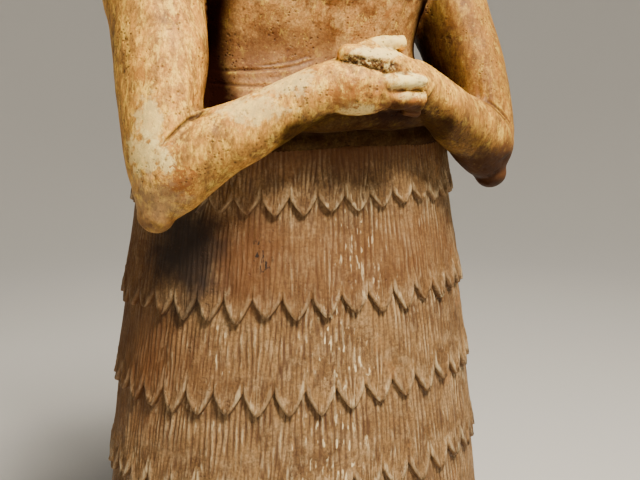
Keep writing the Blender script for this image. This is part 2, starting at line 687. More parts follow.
def figure_relief(share, normals):
    """Carving and wear on the figure, in metres along the normal: cut folds across the waist, the
    elbows' creases, a shallow spine, the chest's edge, broken knuckles, a worn hand, pits, waves."""
    x, y, z = share.T
    limbs = limb_share(share)
    front = ramp(-normals[:, 1], 0.15, 0.5) * ramp(-y, 0.05, 0.075)
    fold = 0
    for row, depth, first in zip(WAIST_FOLDS, FOLD_CUTS, FOLD_STARTS):
        line = np.interp(x, FOLD_X, row) + 0.0007 * noise(share, 0.009, 61)
        part = -depth * bump(z, line, 0.0013) + 0.45 * depth * bump(z, line - 0.0035, 0.0024)
        fold = fold + part * ramp(x, first, first + 0.02)
    fold = fold * front * (1 - ramp(x, -0.045, -0.02)) * (1 - ramp(limbs, 0, 0.4))
    fold = fold * (0.8 + 0.5 * noise(share, 0.020, 63))
    lifted = LEFT_ELBOW_LIFT * 0.4 * (x > 0)
    away = CREASE_SLOPE * (z - np.interp(np.abs(x), *CREASE) - lifted)
    crease = -CREASE_CUT * bump(away, 0, 0.0012) + 0.0016 * bump(away, -0.011, 0.008)
    crease = crease * ramp(-normals[:, 1], 0.1, 0.5) * ramp(-y, 0.09, 0.11)
    crease = crease * ramp(np.abs(x), 0.139, 0.146) * (1 - ramp(np.abs(x), 0.177, 0.187))
    inward = ramp(-np.sign(x) * normals[:, 0], 0.15, 0.6) * limbs
    slot = -SLOT_CUT * inward * bump(z, 0.610, 0.024) * ramp(np.abs(x), 0.110, 0.120)
    back = ramp(normals[:, 1], 0.2, 0.7)
    spine = -SPINE_CUT * bump(x, 0, 0.012) * back * ramp(z, 0.59, 0.63) * (1 - ramp(z, 0.74, 0.78))
    blades = BLADE_HEIGHT * back * bump(z, 0.725, 0.022) * bump(np.abs(x), 0.066, 0.030)
    chest = CHEST_HEIGHT * front * bump(z, 0.733, 0.020) * bump(np.abs(x), 0.062, 0.045)
    crest = 0.7065 - 4.0 * (np.abs(x) - 0.055) ** 2
    edge = front * bump(z, crest, 0.0075) * (1 - ramp(np.abs(x), 0.07, 0.105))
    chest = chest - CHEST_EDGE_CUT * edge
    broken = broken_ground(share, normals)
    broken = broken * (-0.0016 + 0.0020 * layered_noise(share, 0.0050, 11, 4))
    hand = within(share, (0.0000, -0.1880, 0.6250), (0.056, 0.030, 0.034))
    thumb = within(share, (0.0060, -0.1700, 0.6630), (0.034, 0.020, 0.014))
    worn = (hand + 0.7 * thumb) * 0.0012 * layered_noise(share, 0.0080, 23, 4)
    pits = -0.0007 * ramp(layered_noise(share, 0.0045, 31), 0.75, 1.15)
    waves = 0.0007 * layered_noise(share, 0.030, 41)
    return fold + crease + slot + spine + blades + chest + broken + worn + pits + waves


def sheltered(share, normals):
    """Where light and cleaning never reach, from 0 to 1: the chest's flanks behind the upper arms,
    the pockets inside the elbows, the belly and the arms' undersides, and the elbows' creases."""
    x, y, z = share.T
    limbs = limb_share(share)
    aside = np.sign(x) * normals[:, 0]
    flank = on_torso(share) * ramp(aside, -0.10, 0.35) * ramp(np.abs(x), 0.090, 0.108)
    flank = flank * ramp(-y, 0.0, 0.03) * ramp(z, 0.585, 0.600) * (1 - ramp(z, 0.700, 0.748))
    below = ramp(-normals[:, 2], 0.15, 0.5) * (1 - ramp(np.abs(x), 0.085, 0.10))
    belly = np.maximum(1 - ramp(limbs, 0.2, 0.7), below * (1 - ramp(z, 0.604, 0.612)))
    behind = ramp(y, -0.175, -0.168) * (1 - ramp(np.abs(x), 0.045, 0.065))
    belly = belly * (1 - ramp(z - 0.009 * behind, 0.594, 0.608)) * ramp(-y, 0.03, 0.08)
    pocket = np.hypot((np.abs(x) - 0.118) / 0.028, (z - 0.618) / 0.046)
    pocket = (1 - ramp(pocket, 0.3, 1.0)) * ramp(-y, 0.02, 0.05) * (1 - ramp(-y, 0.080, 0.096))
    under = ramp(-normals[:, 2], -0.10, 0.65) * limbs * (1 - ramp(z, 0.61, 0.64))
    inner = ramp(-aside, 0.35, 0.95) * limbs * ramp(z, 0.60, 0.63)
    left = np.where(x > 0, 0.70, 0.22)
    away = CREASE_SLOPE * (z - np.interp(np.abs(x), *CREASE))
    crease = bump(away, 0.0005, 0.0016) * ramp(np.abs(x), 0.139, 0.146) * ramp(-y, 0.09, 0.11)
    crease = 0.65 * crease * (1 - ramp(np.abs(x), 0.172, 0.186))
    shade = np.maximum(np.maximum(np.maximum(flank, pocket), 0.90 * belly), left * under)
    return np.clip(np.maximum(shade, np.where(x > 0, 0.85 * inner, 0)) + crease, 0, 1)


class CarveFigure(bpy.types.Operator):
    """Carves the torso, arms, clasped hands and head as one skin of stone"""
    bl_idname = "statue.carve_figure"
    bl_label = "Carve figure"

    def execute(self, context):
        upward, forward = (0, 0, 1), (0, 1, 0)
        meshes = [torso(), head(), ear(-1), ear(1)]
        for side in (-1, 1):
            meshes.append(limb("upper_arm", arm(UPPER_ARM, side), forward))
            meshes.append(limb("forearm", arm(FOREARM, side), upward, "rf"))
            meshes.append(limb("elbow_point", arm(ELBOW_POINT, side), upward))
        for name, stations, ends in (("shoulders", SHOULDERS, "rr"),
                                     ("clasp_backing", CLASP_BACKING, "ff"),
                                     ("left_palm", LEFT_PALM, "fr"),
                                     ("right_palm", RIGHT_PALM, "fr"),
                                     ("right_heel", RIGHT_HEEL, "rr")):
            meshes.append(limb(name, stations, upward, ends))
        for name, stations in (("right_thumb", RIGHT_THUMB), ("upper_fingers", UPPER_FINGERS),
                               ("lower_fingers", LOWER_FINGERS), ("broken_finger", BROKEN_FINGER)):
            meshes.append(limb(name, stations, upward, "ff", FINGER_SIDES))
        skin = fused("statue_figure", meshes, context.scene.statue_sizes.figure_grain)
        edges, points = read_edges(skin), read_points(skin)
        share = to_share(points)
        fine = np.maximum(within(share, (0.0, -0.18, 0.635), (0.075, 0.06, 0.06)),
                          ramp(share[:, 2], 0.80, 0.82))
        points = relax(points, edges, 2, 0.5)
        points = relax(points, edges, 5, 0.5 * (1 - fine)[:, None])
        write_points(skin, points)
        normals = read_normals(skin)
        share = to_share(points)
        points = points + normals * figure_relief(share, normals)[:, None]
        write_points(skin, points)
        write_mask(skin, "relief", cavity(skin, 0.0005, 6))
        write_mask(skin, "limb", limb_share(share))
        write_mask(skin, "broken", broken_ground(share, normals))
        write_mask(skin, "sheltered", sheltered(share, normals))
        piece = finish_piece("statue_figure", skin, figure_stone(context.scene.statue_colours))
        thin = piece.modifiers.new("thin_flat_areas", "DECIMATE")
        thin.ratio = context.scene.statue_sizes.figure_detail
        return {"FINISHED"}


def skirt_half_width(height):
    """Half width: from the waist's to the hem's by one minus (one minus the way down) to a power."""
    down = np.clip((SKIRT_TOP - height) / (SKIRT_TOP - TIER_TIPS[-1]), 0, 1)
    flare = 1 - (1 - down) ** SKIRT_FLARE_POWER
    return WAIST_HALF_WIDTH + (HEM_HALF_WIDTH - WAIST_HALF_WIDTH) * flare


def tongue_edge(tier, around):
    """Lower edge of a row: its tip plus its length times (distance from the tongue's middle) to a
    power. Also gives the signed distance from the middle, -1 to 1, and each tongue's length."""
    phase = around * TONGUES - TIER_STARTS[tier] / 4
    uneven = np.random.default_rng(tier).uniform(-1, 1, TONGUES)
    tongue = np.round(phase).astype(int) % TONGUES
    offset = 2 * (phase - np.round(phase))
    length = TONGUE_LENGTHS[tier] * (1 + TONGUE_UNEVENNESS * uneven[tongue])
    notch_height = TIER_TIPS[tier] + TONGUE_LENGTHS[tier]
    edge = notch_height - length * (1 - np.abs(offset) ** TONGUE_POINT)
    return edge, offset, length


def wool(flat, height, edge, offset, length, depth):
    """Relief of one row in metres, and how far it stands out, from -1 to 1. Strands are the size of
    a sine across the tongue. Towards the tip they draw together inside a raised rim, and a groove
    parts two tongues just above their notch."""
    above = (height - edge) / length + np.abs(offset) ** TONGUE_POINT
    gather = np.maximum(1 - (1 - np.clip(above / 2.8, 0, 1)) ** 1.8, 0.06)
    across = offset / gather
    sway = 0.20 * noise(flat * np.array([1, 1, 0.35]), 0.010, 3)
    inside = 1 - ramp(np.abs(across), 0.98, 1.12)
    strands = np.abs(np.sin(math.pi * STRANDS / 2 * (across + 1 + sway))) * inside
    rim = ramp(np.abs(across), 1.02, 1.20) * (1 - ramp(above, 2.0, 3.0))
    parting = ramp(np.abs(offset), 0.86, 1.0) * (1 - ramp(above, 1.0, 2.4))
    faded = 0.70 + 0.45 * noise(flat, 0.035, 5)
    relief = depth * (faded * (strands - 0.45) * inside + 1.10 * rim - 1.0 * parting)
    stand = np.clip(faded * (2.3 * strands - 1.35) * inside + 1.00 * rim - 1.2 * parting, -1, 1)
    return relief, stand


class CarveSkirt(bpy.types.Operator):
    """Carves the six rows of pointed wool tongues"""
    bl_idname = "statue.carve_skirt"
    bl_label = "Carve skirt"

    def execute(self, context):
        sizes = context.scene.statue_sizes
        around = np.arange(TONGUES * COLUMNS_PER_TONGUE) / (TONGUES * COLUMNS_PER_TONGUE)
        turn = 2 * math.pi * around
        rings, ridges = [], []

        def ring(height, inset, ridge=0):
            half = skirt_half_width(height) - inset
            depth = half * SKIRT_DEPTH_RATIO
            rings.append(np.stack([half * np.sin(turn), -depth * np.cos(turn),
                                   height + 0 * turn], axis=-1))
            ridges.append(ridge + 0 * turn)

        ring(SKIRT_TOP + 0.004, 0.020)
        ring(SKIRT_TOP + 0.004, 0.0050)
        ring(SKIRT_TOP + 0.0025, 0.0012)
        start = SKIRT_TOP + 0 * turn
        lip = 0.0012 / figure_height()
        for tier, proud in enumerate(TONGUE_PROUD):
            edge, offset, length = tongue_edge(tier, around)
            first = 0 if tier == 0 else proud
            last = NOTCH_DEPTH * proud * np.abs(offset) ** 2
            for way in TIER_ROWS:
                height = start + (edge - start) * way
                inset = first + (last - first) * way
                flat = np.stack([skirt_half_width(height) * turn, 0 * turn, height], axis=-1)
                relief, ridge = wool(flat, height, edge, offset, length, sizes.strand_depth)
                chips = 0.0012 * ramp(noise(flat, 0.012, 17 + tier), 0.35, 0.8) * ramp(way, 0.85, 1)
                relief = relief * ramp(way, -0.05, 0.05) - chips
                relief = relief + 0.0006 * layered_noise(flat, 0.02, 7)
                ring(height, inset - relief / figure_height(), ridge)
            ring(edge - 0.8 * lip, last + 0.8 * lip, -0.2)
            ring(edge - 0.8 * lip, last + 2.2 * lip, -0.5)
            if tier < len(TONGUE_PROUD) - 1:
                following = TONGUE_PROUD[tier + 1]
                ring(edge + 0.4 * lip, following, -0.7)
                start = edge - 2.4 * lip
        ring(TIER_TIPS[-1] + TONGUE_LENGTHS[-1] + 0 * turn, HEM_THICKNESS, -1)
        rings, ridges = np.array(rings)[::-1], np.array(ridges)[::-1]
        mesh = closed_mesh("statue_skirt", rings)
        write_mask(mesh, "relief", np.concatenate([ridges.ravel(), [-1, -1]]))
        finish_piece("statue_skirt", mesh, skirt_stone(context.scene.statue_colours))
        return {"FINISHED"}


def slab(half_width, half_depth, corner, edge):
    """A plate with round corners: quarter circles in plan, and a quarter circle at its rim."""
    turn = np.radians(np.arange(0, 91, 6))
    centres = ((1, 1, 0), (-1, 1, 90), (-1, -1, 180), (1, -1, 270))
    levels = [(0, 0.3 * edge), (0.3 * edge, 0)]
    levels += [(base_height() - edge + edge * math.sin(a), edge - edge * math.cos(a))
               for a in np.radians((0, 22, 45, 68, 90))]
    rings = []
    for height, inset in levels:
        reach = corner - inset
        ring = [np.stack([east * (half_width - corner) + reach * np.cos(turn + math.radians(first)),
                          north * (half_depth - corner) + reach * np.sin(turn + math.radians(first)),
                          height + 0 * turn], axis=-1) for east, north, first in centres]
        rings.append(np.vstack(ring))
    rings = to_share(np.array(rings).reshape(-1, 3)).reshape(len(levels), -1, 3)
    return closed_mesh("slab", rings)


def foot(side):
    """A bare foot, its ankle and five toes."""
    upward, forward = (0, 0, 1), (0, 1, 0)
    place = np.array([side * FOOT_X, 0, 0, 0, 0])
    meshes = [limb("foot", FOOT + place, upward, "fr"), limb("ankle", ANKLE + place, forward, "ff")]
    for toe, (half, reach) in enumerate(zip(TOE_SIZES, TOE_REACH)):
        x = side * (FOOT_X + (toe - 2) * TOE_SPREAD)
        stations = np.array([(x, TOE_ROOT_Y, 0.0020, half, half),
                             (x, reach + half, 0.0010, half, half)])
        meshes.append(limb("toe", stations, upward, "fr", FINGER_SIDES))
    return meshes


def support():
    """The block behind the ankles: a superellipse carried straight up."""
    turn = full_turn(BODY_SIDES)
    half, depth = SUPPORT_HALF
    x, y = superellipse(half, depth, depth, SUPPORT_SQUARENESS, turn)
    levels = np.linspace(-0.004, TIER_TIPS[-1] + 2 * TONGUE_LENGTHS[-1], 12)[:, None]
    rings = np.stack([x + 0 * levels, y + SUPPORT_Y + 0 * levels, levels + 0 * x], axis=-1)
    return closed_mesh("support", rings)


class CarveBase(bpy.types.Operator):
    """Carves the low base, the feet and the support behind them"""
    bl_idname = "statue.carve_base"
    bl_label = "Carve base and feet"

    def execute(self, context):
        sizes = context.scene.statue_sizes
        half_width = HEM_HALF_WIDTH * figure_height() + sizes.base_margin
        half_depth = -min(TOE_REACH) * figure_height() + sizes.base_margin
        meshes = [slab(half_width, half_depth, sizes.base_corner, 0.007), support()]
        meshes += foot(-1) + foot(1)
        skin = fused("statue_base", meshes, sizes.base_grain)
        edges, points = read_edges(skin), read_points(skin)
        points = relax(points, edges, 3, 0.5)
        write_points(skin, points)
        normals = read_normals(skin)
        standing = ramp(points[:, 2], 0.0005, 0.006)
        rim = ramp(np.maximum(np.abs(points[:, 0]) / half_width, np.abs(points[:, 1]) / half_depth),
                   0.965, 0.99) * bump(points[:, 2], base_height(), 0.016)
        relief = 0.0007 * layered_noise(points, 0.05, 51)
        relief = relief - 0.0030 * rim * ramp(noise(points, 0.022, 53), 0.30, 0.75)
        relief = relief - 0.0008 * ramp(noise(points, 0.007, 55), 0.55, 0.85)
        points = points + normals * (relief * standing)[:, None]
        write_points(skin, points)
        write_mask(skin, "relief", cavity(skin, 0.0008, 5))
        finish_piece("statue_base", skin, base_stone(context.scene.statue_colours))
        return {"FINISHED"}


def new_group(name, inputs, outputs):
    """A shader node group with these named sockets, what it is given and its output node. An input
    is a number, a vector or a colour, by how many numbers its default has."""
    group = bpy.data.node_groups.new(name, "ShaderNodeTree")
    for label, value in inputs.items():
        kind = SOCKET_KINDS[np.size(value)]
        group.interface.new_socket(label, in_out="INPUT", socket_type=kind).default_value = value
    for label in outputs:
        kind = "NodeSocketColor" if label == "Color" else "NodeSocketFloat"
        group.interface.new_socket(label, in_out="OUTPUT", socket_type=kind)
    return group, group.nodes.new("NodeGroupInput").outputs, group.nodes.new("NodeGroupOutput")


def fill(tree, node, links):
    """Links or sets a node's inputs, by name or number."""
    for key, value in links.items():
        if isinstance(value, bpy.types.NodeSocket):
            tree.links.new(value, node.inputs[key])
        else:
            node.inputs[key].default_value = value
    return node.outputs


def put(tree, kind, links, **settings):
    """Adds a node, sets its options and fills its inputs."""
    node = tree.nodes.new(kind)
    for option, value in settings.items():
        setattr(node, option, value)
    return fill(tree, node, links)


def use_group(tree, name, build, links):
    """Adds a shared node group, which is built at its first use."""
    node = tree.nodes.new("ShaderNodeGroup")
    found = bpy.data.node_groups.get(name)
    node.node_tree = found if found else build(name)
    return fill(tree, node, links)


def maths(tree, operation, first, second, clamp=False):
    return put(tree, "ShaderNodeMath", {0: first, 1: second}, operation=operation,
               use_clamp=clamp)[0]


def product(tree, first, second):
    return maths(tree, "MULTIPLY", first, second)


def spread(tree, value, low, high):
    """Maps low to 0 and high to 1 with a smooth step."""
    return put(tree, "ShaderNodeMapRange", {"Value": value, "From Min": low, "From Max": high},
               interpolation_type="SMOOTHSTEP")["Result"]


def remap(tree, value, source, target):
    """Maps one range onto another in a straight line."""
    return put(tree, "ShaderNodeMapRange", {"Value": value, "From Min": source[0],
                                            "From Max": source[1], "To Min": target[0],
                                            "To Max": target[1]})["Result"]


def blend(tree, amount, under, over, mode="MIX"):
    """Mixes two colours."""
    return put(tree, "ShaderNodeMix", {0: amount, 6: under, 7: over}, data_type="RGBA",
               blend_type=mode)[2]


def speckle(tree, vector, scale, detail=6.0, roughness=0.68):
    return put(tree, "ShaderNodeTexNoise", {"Vector": vector, "Scale": scale, "Detail": detail,
                                            "Roughness": roughness})[0]


def specks(tree, vector, scale, low, high, detail=6.0, roughness=0.68):
    """A mask from noise: 0 where it is at low and 1 where it is at high."""
    return spread(tree, speckle(tree, vector, scale, detail, roughness), low, high)


def mottling_group(name):
    """Stone colour: clouds between dark and middle, finer ragged clouds up to light, and grain."""
    group, given, out = new_group(
        name, {"Vector": (0, 0, 0), "Scale": 12.0, "Dark": (0.2, 0.1, 0.05, 1),
               "Middle": (0.4, 0.25, 0.12, 1), "Light": (0.7, 0.5, 0.3, 1), "Light Amount": 0.5},
        ("Color",))
    vector, scale = given["Vector"], given["Scale"]
    wide = specks(group, vector, scale, 0.36, 0.60, 6.0, 0.70)
    body = blend(group, wide, given["Dark"], given["Middle"])
    cloud = specks(group, vector, product(group, scale, 2.7), 0.46, 0.64, 7.0, 0.72)
    body = blend(group, product(group, cloud, given["Light Amount"]), body, given["Light"])
    speck = remap(group, speckle(group, vector, 380.0, 3.0, 0.7), (0.3, 0.7), (0.55, 1.40))
    grey = put(group, "ShaderNodeCombineColor", {0: speck, 1: speck, 2: speck})[0]
    fill(group, out, {"Color": blend(group, 1.0, body, grey, "MULTIPLY")})
    return group


def patch_group(name):
    """A ragged patch: the distance from a centre, over its radii, disturbed by noise."""
    group, given, out = new_group(
        name, {"Vector": (0, 0, 0), "Centre": (0, 0, 0), "Radii": (0.05, 0.05, 0.05),
               "Scale": 40.0, "Raggedness": 1.0, "Softness": 0.35}, ("Mask",))
    away = put(group, "ShaderNodeVectorMath", {0: given["Vector"], 1: given["Centre"]},
               operation="SUBTRACT")[0]
    shaped = put(group, "ShaderNodeVectorMath", {0: away, 1: given["Radii"]}, operation="DIVIDE")[0]
    reach = put(group, "ShaderNodeVectorMath", {0: shaped}, operation="LENGTH")["Value"]
    rough = maths(group, "SUBTRACT", speckle(group, given["Vector"], given["Scale"]), 0.5)
    shift = product(group, rough, product(group, given["Raggedness"], 2.0))
    torn = maths(group, "ADD", reach, shift)
    inner = maths(group, "SUBTRACT", PATCH_EDGE, given["Softness"])
    fill(group, out, {"Mask": spread(group, torn, PATCH_EDGE, inner)})
    return group


def stain_group(name):
    """Blotches of one colour over another, where noise passes a threshold."""
    group, given, out = new_group(
        name, {"Vector": (0, 0, 0), "Scale": 30.0, "Coverage": 0.4, "Strength": 0.5,
               "Under": (1, 1, 1, 1), "Over": (0, 0, 0, 1)}, ("Color",))
    low = maths(group, "SUBTRACT", 0.74, product(group, given["Coverage"], 0.45))
    high = maths(group, "ADD", low, 0.09)
    mask = specks(group, given["Vector"], given["Scale"], low, high, 7.0, 0.72)
    mask = product(group, mask, given["Strength"])
    fill(group, out, {"Color": blend(group, mask, given["Under"], given["Over"])})
    return group


def relief_group(name):
    """Dirt in the grooves and rubbed pale stone on the ridges, by the piece's own relief values."""
    group, given, out = new_group(
        name, {"Relief": 0.0, "Vector": (0, 0, 0), "Color": (1, 1, 1, 1),
               "Dirt": (0.05, 0.03, 0.02, 1), "Dirt Amount": 0.7, "Worn": (0.8, 0.7, 0.55, 1),
               "Worn Amount": 0.5, "Worn Scale": 18.0}, ("Color",))
    vector, relief = given["Vector"], given["Relief"]
    uneven = remap(group, speckle(group, vector, 60.0), NOISE_MIDDLE, (0.45, 1.0))
    deep = product(group, spread(group, relief, 0.25, -0.85), uneven)
    dirty = blend(group, product(group, deep, given["Dirt Amount"]), given["Color"], given["Dirt"])
    where = specks(group, vector, given["Worn Scale"], 0.48, 0.64, 7.0, 0.74)
    amount = product(group, spread(group, relief, 0.10, 0.80), where)
    amount = product(group, amount, given["Worn Amount"])
    fill(group, out, {"Color": blend(group, amount, dirty, given["Worn"])})
    return group


def pitting_group(name):
    """Height of the bump: grain and weathering less the pits, with rough ground where the stone is
    broken. Also a mask of the pits."""
    group, given, out = new_group(
        name, {"Vector": (0, 0, 0), "Pit Scale": 160.0, "Pit Amount": 0.5, "Grain Amount": 0.35,
               "Broken": 0.0}, ("Height", "Mask"))
    vector = given["Vector"]
    cells = put(group, "ShaderNodeTexVoronoi", {"Vector": vector, "Scale": given["Pit Scale"]})
    pit = product(group, spread(group, cells["Distance"], 0.36, 0.12),
                  specks(group, vector, 34.0, 0.48, 0.62, 4.0))
    mask = product(group, pit, given["Pit Amount"])
    weather = product(group, speckle(group, vector, 150.0, 5.0, 0.65), 1.6)
    ground = maths(group, "ADD", speckle(group, vector, 480.0, 4.0, 0.70), weather)
    ground = product(group, ground, given["Grain Amount"])
    chipped = product(group, speckle(group, vector, 330.0, 6.0, 0.75),
                      product(group, given["Broken"], 3.2))
    height = maths(group, "ADD", maths(group, "SUBTRACT", ground, mask), chipped)
    fill(group, out, {"Height": height, "Mask": mask})
    return group


class Stone:
    """A stone material as it is painted: its node tree, object coordinates and colour so far."""

    def __init__(self, name):
        self.material = bpy.data.materials.new(name)
        self.material.use_nodes = True
        self.tree = self.material.node_tree
        self.shader = self.tree.nodes["Principled BSDF"]
        self.shader.inputs["Specular IOR Level"].default_value = STONE_SPECULAR
        self.place = self.tree.nodes.new("ShaderNodeTexCoord").outputs["Object"]
        self.colour = None

    def attribute(self, name):
        return put(self.tree, "ShaderNodeAttribute", {}, attribute_name=name)["Fac"]

    def stretched(self, upward):
        """Coordinates for streaks that run up and down the stone."""
        return put(self.tree, "ShaderNodeMapping", {"Vector": self.place,
                                                    "Scale": (1, 1, upward)})[0]

    def mottled(self, vector, scale, dark, middle, light, amount):
        return use_group(self.tree, "Mottled stone", mottling_group,
                         {"Vector": vector, "Scale": scale, "Dark": dark, "Middle": middle,
                          "Light": light, "Light Amount": amount})["Color"]

    def cover(self, over, mask, strength=None):
        """Lays a colour over the stone, by a mask and its strength."""
        if strength is not None:
            mask = product(self.tree, mask, strength)
        self.colour = blend(self.tree, mask, self.colour, over)

    def blotch(self, vector, over, scale, coverage, strength):
        self.colour = use_group(self.tree, "Blotches", stain_group,
                                {"Vector": vector, "Scale": scale, "Coverage": coverage,
                                 "Strength": strength, "Under": self.colour, "Over": over})["Color"]

    def patch_mask(self, centre, radii, scale, raggedness, softness):
        """The mask of a ragged patch, centred on a place given in figure shares."""
        world = to_world(np.array([centre], float))[0]
        return use_group(self.tree, "Ragged patch", patch_group,
                         {"Vector": self.place, "Centre": tuple(world),
                          "Radii": tuple(figure_height() * radius for radius in radii),
                          "Scale": scale, "Raggedness": raggedness, "Softness": softness})["Mask"]

    def patch(self, over, patches, scale, raggedness, softness):
        """Lays ragged patches of one colour over the stone."""
        for centre, radii, strength in patches:
            self.cover(over, self.patch_mask(centre, radii, scale, raggedness, softness), strength)

    def dirty(self, vector, dirt, dirt_amount, worn, worn_amount, worn_scale):
        self.colour = use_group(self.tree, "Dirt and wear", relief_group,
                                {"Relief": self.attribute("relief"), "Vector": vector,
                                 "Color": self.colour, "Dirt": dirt, "Dirt Amount": dirt_amount,
                                 "Worn": worn, "Worn Amount": worn_amount,
                                 "Worn Scale": worn_scale})["Color"]

    def finish(self, pits, dirt, distance, roughness=(0.48, 0.72), broken=0.0, fibre=None):
        """Adds pits to the colour and the bump, and joins both to the shader with a patchy gloss."""
        tree = self.tree
        worn = use_group(tree, "Pits and grain", pitting_group,
                         {"Vector": self.place, "Pit Scale": pits[0], "Pit Amount": pits[1],
                          "Grain Amount": pits[2], "Broken": broken})
        height = maths(tree, "ADD", worn["Height"], fibre) if fibre else worn["Height"]
        bumps = put(tree, "ShaderNodeBump", {"Height": height, "Strength": BUMP_STRENGTH,
                                             "Distance": distance})
        gloss = remap(tree, speckle(tree, self.place, 45.0), NOISE_MIDDLE, roughness)
        fill(tree, self.shader, {"Base Color": blend(tree, worn["Mask"], self.colour, dirt),
                                 "Roughness": gloss, "Normal": bumps["Normal"]})
        return self.material


def figure_stone(colours):
    """Skin: tan on the body, creamy yellow on the arms, with pale, rusty and umber patches."""
    stone = Stone("figure_stone")
    tree, place, streaks = stone.tree, stone.place, stone.stretched(0.45)
    body = stone.mottled(place, 26.0, colours.body_dark, colours.body_middle, colours.body_light, 0.45)
    arms = stone.mottled(streaks, 52.0, colours.arm_dark, colours.arm_middle, colours.arm_light, 0.85)
    stone.colour = blend(tree, stone.attribute("limb"), body, arms)
    stone.blotch(place, colours.rust, 40.0, 0.40, 0.45)
    stone.blotch(streaks, colours.pale, 95.0, 0.41, 0.62)
    stone.patch(colours.umber, BROWNED_SKIN, 30.0, 0.5, 0.6)
    stone.patch(colours.cream, RUBBED_SKIN, 120.0, 1.5, 0.5)
    stone.patch(colours.rust, RUSTY_SKIN, 240.0, 3.0, 0.5)
    stone.blotch(place, colours.pale, 270.0, 0.34, 0.45)
    stone.blotch(place, colours.body_dark, 210.0, 0.30, 0.55)
    stone.blotch(streaks, colours.umber, 150.0, 0.30, 0.40)
    stone.patch(colours.umber, UNDER_HANDS, 90.0, 1.0, 0.4)
    broken = stone.attribute("broken")
    rubble = blend(tree, specks(tree, place, 300.0, 0.47, 0.62), colours.umber, colours.cream)
    stone.cover(rubble, broken, 0.85)
    stone.dirty(place, colours.dirt, 0.80, colours.pale, 0.55, 48.0)
    stone.patch(colours.wool_light, GREY_ELBOW, 110.0, 1.6, 0.6)
    stone.patch(colours.umber, SHADED_TIPS, 60.0, 0.8, 0.6)
    hidden = stone.attribute("sheltered")
    stone.cover(colours.shade, hidden)
    shown = maths(tree, "SUBTRACT", 1.0, hidden, True)
    fill(tree, stone.shader, {"Specular IOR Level": product(tree, shown, STONE_SPECULAR)})
    return stone.finish((230.0, 0.6, 0.34), colours.shade, 0.0012, broken=broken)


def skirt_stone(colours):
    """Wool: reddish brown, with whitish rubbed strands, dark grooves and a sooty patch."""
    stone = Stone("skirt_stone")
    tree, place, relief = stone.tree, stone.place, stone.attribute("relief")
    stone.colour = stone.mottled(place, 20.0, colours.wool_dark, colours.wool_middle,
                                 colours.wool_light, 0.55)
    stone.blotch(place, colours.rust, 16.0, 0.36, 0.28)
    stone.blotch(place, colours.wool_dark, 210.0, 0.30, 0.45)
    stone.cover(colours.dirt, specks(tree, stone.stretched(0.07), 250.0, 0.48, 0.36, 2.0, 0.5), 0.50)
    stone.dirty(stone.stretched(0.20), colours.dirt, 1.0, colours.chalk, 0.40, 95.0)
    dashes = specks(tree, stone.stretched(0.32), 230.0, 0.58, 0.64, 2.0, 0.5)
    dashes = product(tree, dashes, spread(tree, relief, -0.1, 0.4))
    rubbed = product(tree, specks(tree, place, 9.0, 0.54, 0.66, 3.0), 0.4)
    for centre, radii in RUBBED_WOOL:
        rubbed = maths(tree, "MAXIMUM", rubbed, stone.patch_mask(centre, radii, 60.0, 1.6, 0.7))
    stone.cover(colours.chalk, product(tree, dashes, rubbed), 0.85)
    stone.cover(colours.chalk, spread(tree, relief, 0.75, 0.98), 0.10)
    stone.patch(colours.umber, BROWNED_WOOL, 26.0, 0.6, 0.8)
    stone.patch(colours.soot, SOOTY_WOOL, 26.0, 0.6, 0.8)
    dots = specks(tree, stone.stretched(0.6), 240.0, 0.42, 0.38, 2.0, 0.5)
    holes = stone.patch_mask(*DRILLED_WOOL, 60.0, 0.4, 0.5)
    stone.cover(colours.soot, product(tree, holes, dots))
    fibre = product(tree, speckle(tree, stone.stretched(0.10), 330.0, 3.0, 0.6), 1.1)
    return stone.finish((260.0, 0.45, 0.30), colours.dirt, 0.0010, fibre=fibre)


def base_stone(colours):
    """The base and feet: the same stone, plainer and a little dusty."""
    stone = Stone("base_stone")
    place = stone.place
    stone.colour = stone.mottled(place, 18.0, colours.wool_dark, colours.body_middle,
                                 colours.body_light, 0.6)
    stone.blotch(place, colours.rust, 14.0, 0.40, 0.4)
    stone.blotch(place, colours.pale, 60.0, 0.32, 0.4)
    stone.dirty(place, colours.dirt, 0.7, colours.pale, 0.5, 30.0)
    return stone.finish((180.0, 0.6, 0.34), colours.dirt, 0.0014, (0.5, 0.74))


def plain(name, colour, roughness):
    material = bpy.data.materials.new(name)
    material.use_nodes = True
    shader = material.node_tree.nodes["Principled BSDF"]
    shader.inputs["Base Color"].default_value = colour
    shader.inputs["Roughness"].default_value = roughness
    return material


def area_light(name, place, size, power, colour):
    """A square light turned to the middle of the statue."""
    lamp = bpy.data.lights.new(name, "AREA")
    lamp.shape = "SQUARE"
    lamp.size = size
    lamp.energy = power
    lamp.color = colour
    holder = add_object(name, lamp)
    holder.location = place
    aim = Vector(LIGHTS_TARGET) - Vector(place)
    holder.rotation_euler = aim.to_track_quat("-Z", "Y").to_euler()


def add_camera():
    """Stands the camera on a circle round the figure's axis, looking down and a little aside."""
    lens = bpy.data.cameras.new("photo_camera")
    lens.lens = CAMERA_LENS
    lens.sensor_width = 36.0
    lens.clip_start = 0.05
    camera = add_object("photo_camera", lens)
    camera.matrix_world = (
        Matrix.Rotation(CAMERA_AZIMUTH, 4, "Z")
        @ Matrix.Translation((0, -CAMERA_DISTANCE, base_height() + CAMERA_LEVEL * figure_height()))
        @ Matrix.Rotation(-CAMERA_PAN, 4, "Z")
        @ Matrix.Rotation(math.pi / 2 - CAMERA_DIP, 4, "X"))
    bpy.context.scene.camera = camera


